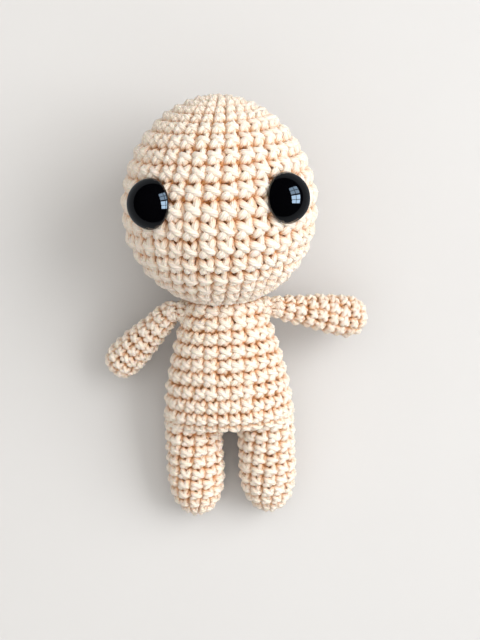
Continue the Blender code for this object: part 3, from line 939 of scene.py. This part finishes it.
def arm_profile(hand_radius):
    """Radius and height from the fingertips. Past the hand's middle the radius goes from the hand's to
    the shoulder's with the squared sine of the share of the way, less the drawn-in end."""
    hand_centre = arm_length - hand_radius
    hand = np.linspace(0, np.pi / 2, 60)
    down = np.linspace(hand_centre, -arm_past_shoulder, 100)[1:]
    swell = np.sin(np.pi / 2 * np.maximum(down / hand_centre, 0)) ** 2
    drawn = np.clip(1 - down / drawn_stretch, 0, 2) ** 2 / 2
    radius = shoulder_radius + (hand_radius - shoulder_radius) * swell - drawn_in * drawn
    return (np.concatenate([hand_radius * np.sin(hand), radius]),
            np.concatenate([hand_radius * (1 - np.cos(hand)), arm_length - down]))


print("an arm has", sum(arm_counts), "stitches")

# %% [markdown]
# ## Work and fill the arms
#
# Small pieces are hard to hold, so the arms are looser crochet than the rest, and their stitches vary
# more. An arm swings where it is sewn on; its cover and lining stay where they are made, and only its wad
# is attached to the arm.

# %% Work and fill the arms
for side, sign, hand_radius, drop in arm_sizes:
    along = arm_direction(sign, drop)
    shoulder = joint_place(side + "_arm_raise")
    arm_shape, arm_height = arm_profile(hand_radius)
    arm_form = RoundForm(shoulder + arm_length * along, -along, -faceward,
                         (arm_shape, arm_shape, arm_height), np.ones(len(arm_counts)))

    arm_yarn = work_cover(side + "_arm_yarn", arm_form, arm_counts, 0.12, 1.15 * mm, 0.85 * mm,
                          seed=8 + sign, looseness=1.3, valley=0.4 * mm)
    dress(arm_yarn, cream_yarn, "cream_yarn", side + "_arm_cover")
    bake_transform(arm_yarn)

    # The lining stands for the backs of the stitches, in the yarn's painted shade.
    arm_lining = form_skin(side + "_arm_lining", arm_form, 1.7 * mm, 0.1, 9.5)
    dress(arm_lining, painted_shade_yarn, "cream_yarn")
    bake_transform(arm_lining)

    arm_wad = form_skin(side + "_arm_wad", arm_form, 2.0 * mm, 0.2, 7.2)
    dress(arm_wad, white_stuffing, "white_stuffing", side + "_arm_stuffing")
    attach(arm_wad, side + "_arm")

# %% [markdown]
# ## A wound seam
#
# The head is sewn on with the same yarn, wrapped over the edge all the way round the neck. One closed
# strand, wound round a ring, is that seam: the way round the ring turns once, while the way round its own
# section turns as often as there are wraps. It has no ends, so its last ring joins its first.

# %% Wind a seam
def wound_ring(name, centre, axis, radius, half_width, half_height, wraps, strand_width, steps=14):
    """A closed strand wound round a ring, whose section is an oval, half width by half height. The path
    is the ring's radius plus half width times the cosine of the wraps' turn, and half height times its
    sine along the axis. Upright is from the ring's middle line to the path."""
    axis = unit(axis)
    first = unit(np.cross(axis, leftward + 0.3 * faceward))
    second = np.cross(axis, first)
    turn = np.linspace(0, 2 * np.pi, wraps * steps, endpoint=False)
    ring_line = np.cos(turn)[:, None] * first + np.sin(turn)[:, None] * second
    path = (np.array(centre) + (radius + half_width * np.cos(wraps * turn))[:, None] * ring_line
            + (half_height * np.sin(wraps * turn))[:, None] * axis)
    forward = np.roll(path, -1, 0) - np.roll(path, 1, 0)
    forward /= np.linalg.norm(forward, axis=1, keepdims=True)
    upright = path - (np.array(centre) + radius * ring_line)
    upright -= np.sum(upright * forward, 1, keepdims=True) * forward
    upright /= np.linalg.norm(upright, axis=1, keepdims=True)
    beside = np.cross(forward, upright)
    corner = 2 * np.pi * np.arange(strand_sides) / strand_sides
    points = (path[:, None] + strand_width / 2 * (np.cos(corner)[:, None] * upright[:, None]
                                                  + np.sin(corner)[:, None] * beside[:, None]))
    corners = len(path) * strand_sides
    loops = tube_faces(len(path) + 1, strand_sides) % corners
    piece = mesh_object(name, points.reshape(-1, 3), loops, np.full(corners, 4))

    length = np.linalg.norm(np.diff(np.vstack([path, path[:1]]), axis=0), axis=1)
    walked = np.concatenate(([0.0], np.cumsum(length))) / mm
    whole_twists = 2 * twist_length_mm
    walked *= round(walked[-1] / whole_twists) * whole_twists / walked[-1]
    map_strand(piece, walked)
    # An even depth gives the whole seam a trace of painted shade.
    store_depth(piece, np.full(corners, 0.3))
    print(name, len(loops) // 2, "triangles")
    return piece

# %% [markdown]
# ## The neck
#
# The seam holds the head to the torso. Inside it sits a firm wad, a small ball that keeps the heavy head
# from nodding over. Only a sliver of the wad could ever show, in the shade under the head, so instead of
# the stuffing's white it wears the yarn in painted shade.

# %% Sew the neck and fill it
neck_wad_radius = 9.2 * mm

neck_seam = wound_ring("neck_seam", neck_place - 1.7 * mm * crownward, crownward, 7.3 * mm, 0.4 * mm,
                       2.4 * mm, 18, 1.0 * mm)
dress(neck_seam, cream_yarn, "sewing_yarn", "neck_seam_yarn")
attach(neck_seam, "neck_seam")

angle = np.linspace(0, np.pi, 60)
neck_radius = neck_wad_radius * np.sin(angle)
neck_form = RoundForm(neck_place + neck_wad_radius * crownward, -crownward, faceward,
                      (neck_radius, neck_radius, neck_wad_radius * (1 - np.cos(angle))), np.ones(10))
neck_wad = form_skin("neck_wad", neck_form, 1.9 * mm, 0.1, 9.9)
dress(neck_wad, painted_shade_yarn, "white_stuffing", "neck_stuffing")
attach(neck_wad, "neck_wad")

# %% [markdown]
# ## The arms' roots
#
# Where an arm meets the torso its fabric is stretched from one to the other and sewn down. Wrapped yarn
# alone would leave a gap when the arm is raised. Two rounds of loose crochet, from just outside the
# shoulder to inside the torso, cover it, and stay where they are made.

# %% Sew the arms on
root_reach = 5.4 * mm
for side, sign in sides:
    shoulder = joint_place(side + "_arm_raise")
    outward_way = sign * leftward
    reach = np.linspace(0, root_reach, 30)
    root_radius = 2.5 * mm + 0.5 * mm * (reach / root_reach) ** 2
    root_form = RoundForm(shoulder + 1.2 * mm * outward_way, -outward_way, -faceward,
                          (root_radius, root_radius, reach), (1, 1, 0.15))
    arm_seam = work_cover(side + "_arm_seam", root_form, (7, 7), 0.4, 1.05 * mm, 1.0 * mm,
                          seed=30 + sign, looseness=1.5, valley=0.3 * mm)
    dress(arm_seam, cream_yarn, "sewing_yarn", side + "_arm_seam_yarn")
    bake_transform(arm_seam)

# %% [markdown]
# ## The eyes' form
#
# A safety eye is one moulded piece: a polished dome with a thin rounded rim, and behind it a ridged post
# that a washer is pushed onto from inside the head. All of it is turned about one line, so a profile of
# radius and height is enough. The dome is a slice of a ball, a little less than half of it, and where
# the window's reflection falls on it depends on that.

# %% Draw the eye's profile
eye_radius, dome_height, edge_height = 6.0 * mm, 5.2 * mm, 0.6 * mm

cap_height = dome_height - edge_height
cap_radius = (eye_radius ** 2 + cap_height ** 2) / (2 * cap_height)
cap_angle = math.asin(eye_radius / cap_radius)
dome = np.linspace(0.02, cap_angle, 40)
dome_radius = cap_radius * np.sin(dome)
dome_rise = dome_height - cap_radius + cap_radius * np.cos(dome)
rim_and_post_mm = np.array([
    (6.0, 0.3), (5.95, 0.08), (5.8, 0.0),
    (1.6, 0.0), (1.6, -5.0), (1.75, -5.2), (1.6, -5.6),
    (1.6, -6.2), (1.75, -6.4), (1.6, -6.8),
    (1.6, -7.4), (1.75, -7.6), (1.6, -8.0),
    (1.6, -9.8), (1.4, -10.0),
])
eye_profile = np.vstack([np.stack([dome_radius, dome_rise], -1), rim_and_post_mm * mm])[::-1]
print("the dome is a slice of a ball of", round(cap_radius / mm, 1), "mm radius")

# %% [markdown]
# ## Turn a piece
#
# Turning on a lathe is the real way to the mould, and the Screw modifier is Blender's. Here it is a sum:
# each point of the profile becomes a ring of that radius, at that height along the line.

# %% Turn a profile
def turned_piece(name, place, outward, profile, steps=64):
    """A surface of revolution about outward: each profile point gives a ring of that radius and height."""
    outward = unit(outward)
    first = unit(np.cross(outward, crownward))
    second = np.cross(outward, first)
    radius, height = np.array(profile, float).T
    turn = np.linspace(0, 2 * np.pi, steps, endpoint=False)
    ring = np.cos(turn)[:, None] * first + np.sin(turn)[:, None] * second
    points = np.array(place) + radius[:, None, None] * ring + height[:, None, None] * outward
    return closed_tube(name, points, len(radius), steps)


print("an eye will be turned from", len(eye_profile), "rings")

# %% [markdown]
# ## Moulded plastic
#
# The eyes are polished black and the washers a plain pale plastic. Neither is quite even: a mould's gloss
# varies in soft clouds, and the tone with it. Black plastic has next to no colour of its own, so what is
# seen of the eyes is almost all reflection.

# %% Make the plastics
def moulded_plastic(name, colour, roughness, haze, coat):
    """Plastic from a mould: its roughness goes from roughness up by haze in soft clouds, and its tone
    from a little under the colour to a little over it."""
    material, tree, shader = start_material(name)
    shader.inputs["Coat Weight"].default_value = coat
    shader.inputs["Coat Roughness"].default_value = roughness / 2
    clouds = noise_node(tree, 160, 5)
    gloss = tree.nodes.new("ShaderNodeMapRange")
    gloss.inputs["From Min"].default_value = 0.3
    gloss.inputs["From Max"].default_value = 0.7
    gloss.inputs["To Min"].default_value = roughness
    gloss.inputs["To Max"].default_value = roughness + haze
    tree.links.new(clouds.outputs["Fac"], gloss.inputs["Value"])
    tree.links.new(gloss.outputs["Result"], shader.inputs["Roughness"])
    tone = mixed_colour(tree, clouds.outputs["Fac"], 0.85 * np.array(colour), 1.15 * np.array(colour))
    tree.links.new(tone, shader.inputs["Base Color"])
    return material


black_eye = moulded_plastic("black_eye", (0.001, 0.001, 0.0015), 0.03, 0.02, 0.0)
washer_plastic = moulded_plastic("washer_plastic", (0.8, 0.8, 0.78), 0.35, 0.15, 0.0)
print("the black and the pale plastic are made")

# %% [markdown]
# ## Set the eyes
#
# Each eye sits well out on its side of the head and looks up and outward, as the solids have it. The
# washers keep the frame's own solids, which have the right shape already, and only get a finish.

# %% Set the eyes
for side, sign in sides:
    seat = np.array((sign * 15.553, 46.24, 40.426)) * mm
    looking = (sign * 0.6693, -0.0373, 0.7421)
    eye = turned_piece(side + "_black_eye", seat, looking, eye_profile)
    dress(eye, black_eye, "black_eye", side + "_eye")
    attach(eye, "head")
    washer = frame["nodes"][side + "_eye_washer"]
    washer.data.materials.clear()
    washer.data.materials.append(washer_plastic)
    print(eye.name, len(eye.data.polygons), "faces")

# %% [markdown]
# ## The floor
#
# A plain pale floor carries the doll and its shadow, and isn't part of it. It is a matt plaster whose
# tone drifts a little. Glossy rays don't see it: a sheet of light under it stands for it in the eyes,
# which keeps their black as clean as in the photograph.

# %% Lay the floor
floor_mesh = bpy.data.meshes.new("floor")
floor_mesh.from_pydata([(-1, -1, 0), (1, -1, 0), (1, 1, 0), (-1, 1, 0)], [], [(0, 1, 2, 3)])
floor = bpy.data.objects.new("floor", floor_mesh)
bpy.context.scene.collection.objects.link(floor)

floor_material, floor_tree, floor_shader = start_material("pale_floor")
floor_grain = noise_node(floor_tree, 12, 6)
floor_tone = mixed_colour(floor_tree, floor_grain.outputs["Fac"], (0.565, 0.555, 0.545),
                          (0.60, 0.592, 0.583))
floor_tree.links.new(floor_tone, floor_shader.inputs["Base Color"])
floor_shader.inputs["Roughness"].default_value = 0.8
floor_mesh.materials.append(floor_material)
floor.visible_glossy = False
floor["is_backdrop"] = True
print("the floor is", round(floor.dimensions.x, 1), "m wide")

# %% [markdown]
# ## The room's light
#
# The doll's shading is soft, and its eyes reflect a window with a bluish sky. The world gives the room's
# even light. The lights themselves are rectangles, and each is seen either by matt surfaces or by glossy
# ones, so that the doll's shading and the eyes' reflections can be set apart from each other.

# %% Light the room
world = bpy.data.worlds.new("room")
world.use_nodes = True
world.node_tree.nodes["Background"].inputs["Color"].default_value = (1, 0.985, 0.96, 1)
world.node_tree.nodes["Background"].inputs["Strength"].default_value = 0.4
world.cycles_visibility.glossy = False
bpy.context.scene.world = world
view_transform = "Standard"
bpy.context.scene.view_settings.view_transform = view_transform


def area_light(name, place, aim, size, radiance, colour, diffuse, glossy):
    """A rectangular light that faces against aim; its power is pi x radiance x its area."""
    data = bpy.data.lights.new(name, "AREA")
    data.shape = "RECTANGLE"
    data.size, data.size_y = size
    data.energy = radiance * math.pi * size[0] * size[1]
    data.color = colour
    light = bpy.data.objects.new(name, data)
    light.location = place
    light.rotation_euler = Vector(aim).to_track_quat("Z", "Y").to_euler()
    light.visible_diffuse = diffuse
    light.visible_glossy = glossy
    bpy.context.scene.collection.objects.link(light)
    return light


print("the world is", world.name, "and is seen through the", view_transform, "view")

# %% [markdown]
# ## The window
#
# A window stands to the doll's left and above it. As light it is one plain rectangle. As a reflection it
# is two sashes of four panes each, one bright and one a little narrower and dimmer. The dark bars between
# the panes draw the small crosses in the eyes' highlights.

# %% Hang the window
window_direction = unit((0.77, 0.16, 0.62))
window_right = unit(np.cross((0, 0, 1), window_direction))
window_up = np.cross(window_direction, window_right)
window_distance = 1200 * mm
window_size = (1120 * mm, 880 * mm)
belly = np.array((0, 30 * mm, 20 * mm))
window_place = belly + window_direction * window_distance
area_light("window_light", window_place, window_direction, window_size, 4.6, (1.0, 0.98, 0.96), True,
           False)

sashes_mm = ((-720, -50, 19.0), (60, 640, 8.0))
upright_bar_mm = 45
cross_bar = 50 * mm
pane_height = 400 * mm
sky_blue = (0.56, 0.77, 1.0)
for sash_from, sash_to, pane_radiance in sashes_mm:
    pane_size = ((sash_to - sash_from - upright_bar_mm) / 2 * mm, pane_height)
    for column in (-0.5, 0.5):
        for row in (-0.5, 0.5):
            across = (sash_from + sash_to) / 2 * mm + column * (pane_size[0] + upright_bar_mm * mm)
            up = row * (pane_size[1] + cross_bar) - 40 * mm
            place = window_place + across * window_right + up * window_up - 0.05 * window_direction
            area_light("window_pane", place, window_direction, pane_size, pane_radiance, sky_blue,
                       False, True)
print("the window has", 4 * len(sashes_mm), "panes")

# %% [markdown]
# ## Soft light from above, and the pale ground
#
# A broad soft box over the doll opens the shadows between the stitches. The pale ground lies under the
# floor, and is only there for the eyes to reflect at their rims.

# %% Add the soft box and the pale ground
area_light("soft_box", belly + (0, 0, 1.1), (0, 0, 1), (2.6, 2.6), 0.85, (1.0, 0.985, 0.96), True, False)
area_light("pale_ground", (0, 0, -0.02), (0, 0, -1), (5.0, 5.0), 0.22, (0.88, 0.94, 1.0), False, True)
print(len(bpy.data.lights), "lights")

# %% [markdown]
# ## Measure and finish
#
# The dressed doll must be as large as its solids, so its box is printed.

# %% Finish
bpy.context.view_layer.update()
doll_low, doll_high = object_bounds()
print("the dressed doll measures", np.round((np.array(doll_high) - np.array(doll_low)) / mm, 1), "mm")
